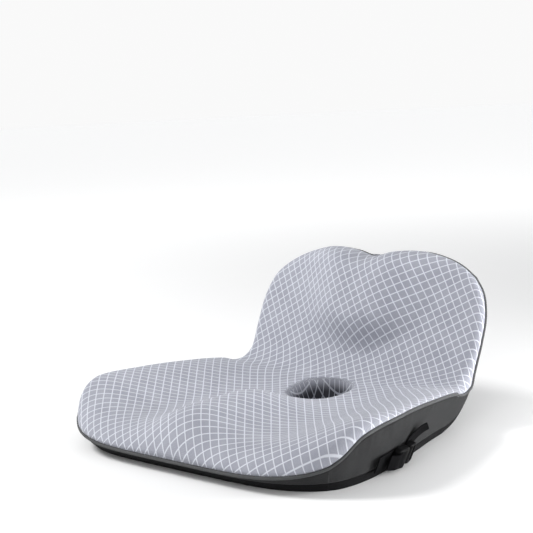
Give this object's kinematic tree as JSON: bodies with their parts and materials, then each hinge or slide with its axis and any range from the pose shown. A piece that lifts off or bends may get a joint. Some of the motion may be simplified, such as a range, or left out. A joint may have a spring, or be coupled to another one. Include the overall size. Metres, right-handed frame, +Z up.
{
  "type": "seat cushion with integral lumbar back",
  "caption": "Contoured one-piece foam cushion for a chair: raised side banks, front ridge, tailbone recess and a low lumbar back, in a sewn cover with a side strap and buckle.",
  "frame": {"origin": "on the surface the cushion rests on, at the middle of its overall width and depth", "axes": "+X to the sitter's left, across the seat; +Y from the front edge to the back; +Z up"},
  "size_m": [0.4604, 0.44, 0.214],
  "materials": {
    "patterned_knit": "grey stretch knit with a diagonal grid of fine light lines",
    "piping_cloth": "plain light grey rolled seam",
    "charcoal_knit": "plain charcoal knit, matt",
    "black_base_cloth": "black non-slip base cloth, matt",
    "black_webbing": "black woven polyester webbing",
    "black_plastic": "black moulded acetal, satin"
  },
  "bodies": {
    "root": {"cushion_body": "patterned_knit", "seam_piping": "piping_cloth", "side_gusset": "charcoal_knit", "base_panel": "black_base_cloth", "strap_anchor": "black_webbing", "strap_tail": "black_webbing", "buckle_socket": "black_plastic", "buckle_plug": "black_plastic"}
  },
  "joints": []
}
